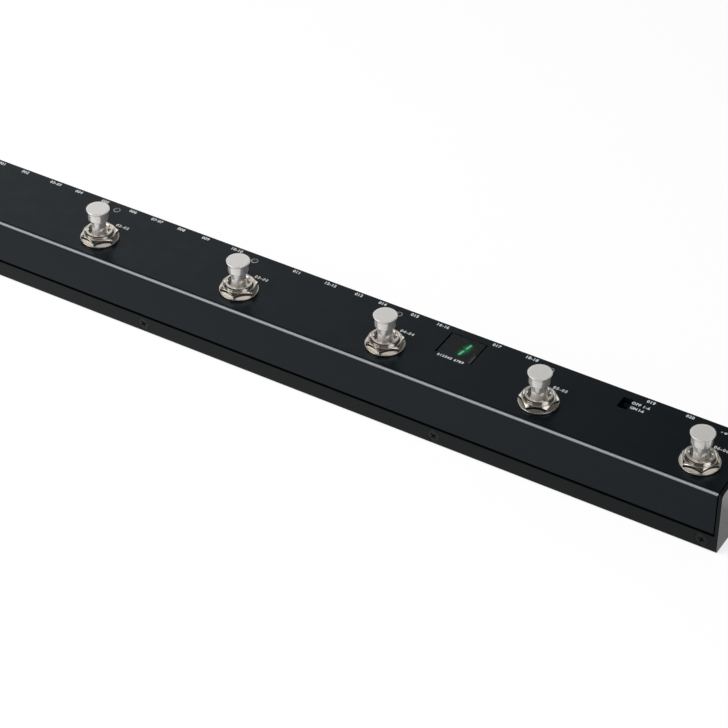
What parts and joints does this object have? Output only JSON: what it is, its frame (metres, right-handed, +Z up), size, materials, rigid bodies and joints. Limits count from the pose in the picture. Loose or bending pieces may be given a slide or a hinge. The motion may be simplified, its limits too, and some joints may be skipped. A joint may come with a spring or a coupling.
{
  "type": "loop switcher pedal",
  "caption": "Slim black bar-shaped effect loop switcher with a row of nickel footswitches, a small lit digit display and jacks along its back.",
  "frame": {"origin": "centre of the base tray's underside", "axes": "+X along the bar to the power inlet's end, +Y from the front flange to the jacks, +Z up out of the top panel"},
  "size_m": [0.38, 0.0413, 0.0436],
  "materials": {
    "black_case": "black anodised, finely brushed",
    "black_steel": "blackened screws",
    "nickel": "bright nickel plate",
    "zinc": "zinc plate",
    "spring_steel": "spring wire",
    "brass": "bare brass",
    "board": "green solder mask",
    "black_plastic": "moulded black",
    "smoked_window": "smoked acrylic",
    "display": "display face",
    "lens": "clear unlit lens",
    "relay": "cream relay cover",
    "knob": "pale knob"
  },
  "bodies": {
    "case": {"base_tray": "black_case", "top_cover": "black_case", "case_screws": "black_steel", "clinch_nuts": "zinc", "footswitch_bushings": "nickel", "footswitch_washers": "nickel", "footswitch_nuts": "nickel", "footswitch_caps": "black_plastic", "push_contacts": "black_plastic", "indicator_lights": "lens", "display_window": "smoked_window", "display_module": "display", "slide_switch_housing": "zinc", "jack_ferrules": "nickel", "jack_nuts": "nickel", "jack_washers": "nickel", "jack_contacts": "brass", "power_inlet": "black_plastic", "power_inlet_pin": "nickel", "main_board": "board", "main_board_pillars": "brass", "jack_board": "board", "jack_board_spacers": "zinc", "board_screws": "zinc", "board_connector": "black_plastic", "relays": "relay", "control_chip": "black_plastic", "footswitch_spring_1": "spring_steel", "footswitch_spring_2": "spring_steel", "footswitch_spring_3": "spring_steel", "footswitch_spring_4": "spring_steel", "footswitch_spring_5": "spring_steel", "footswitch_spring_6": "spring_steel", "send_jack_1": "black_plastic", "return_jack_1": "black_plastic", "send_jack_2": "black_plastic", "return_jack_2": "black_plastic", "send_jack_3": "black_plastic", "return_jack_3": "black_plastic", "send_jack_4": "black_plastic", "return_jack_4": "black_plastic", "send_jack_5": "black_plastic", "return_jack_5": "black_plastic", "send_jack_6": "black_plastic", "return_jack_6": "black_plastic", "input_jack": "black_plastic", "output_jack": "black_plastic"},
    "footswitch_1": {"footswitch_button_1": "nickel", "footswitch_plunger_1": "nickel"},
    "footswitch_2": {"footswitch_button_2": "nickel", "footswitch_plunger_2": "nickel"},
    "footswitch_3": {"footswitch_button_3": "nickel", "footswitch_plunger_3": "nickel"},
    "footswitch_4": {"footswitch_button_4": "nickel", "footswitch_plunger_4": "nickel"},
    "footswitch_5": {"footswitch_button_5": "nickel", "footswitch_plunger_5": "nickel"},
    "footswitch_6": {"footswitch_button_6": "nickel", "footswitch_plunger_6": "nickel"},
    "slide_switch": {"slide_switch_knob": "knob"}
  },
  "joints": [
    {"name": "footswitch_1_press", "type": "slide", "parent": "case", "child": "footswitch_1", "axis": [0, 0, -1], "range_m": [0, 0.0025], "stiffness_N_per_m": 800, "springref_m": -0.002, "deforming": ["footswitch_spring_1"]},
    {"name": "footswitch_2_press", "type": "slide", "parent": "case", "child": "footswitch_2", "axis": [0, 0, -1], "range_m": [0, 0.0025], "stiffness_N_per_m": 800, "springref_m": -0.002, "deforming": ["footswitch_spring_2"]},
    {"name": "footswitch_3_press", "type": "slide", "parent": "case", "child": "footswitch_3", "axis": [0, 0, -1], "range_m": [0, 0.0025], "stiffness_N_per_m": 800, "springref_m": -0.002, "deforming": ["footswitch_spring_3"]},
    {"name": "footswitch_4_press", "type": "slide", "parent": "case", "child": "footswitch_4", "axis": [0, 0, -1], "range_m": [0, 0.0025], "stiffness_N_per_m": 800, "springref_m": -0.002, "deforming": ["footswitch_spring_4"]},
    {"name": "footswitch_5_press", "type": "slide", "parent": "case", "child": "footswitch_5", "axis": [0, 0, -1], "range_m": [0, 0.0025], "stiffness_N_per_m": 800, "springref_m": -0.002, "deforming": ["footswitch_spring_5"]},
    {"name": "footswitch_6_press", "type": "slide", "parent": "case", "child": "footswitch_6", "axis": [0, 0, -1], "range_m": [0, 0.0025], "stiffness_N_per_m": 800, "springref_m": -0.002, "deforming": ["footswitch_spring_6"]},
    {"name": "slide_switch_travel", "type": "slide", "parent": "case", "child": "slide_switch", "axis": [0, -1, 0], "range_m": [0, 0.0026]}
  ]
}
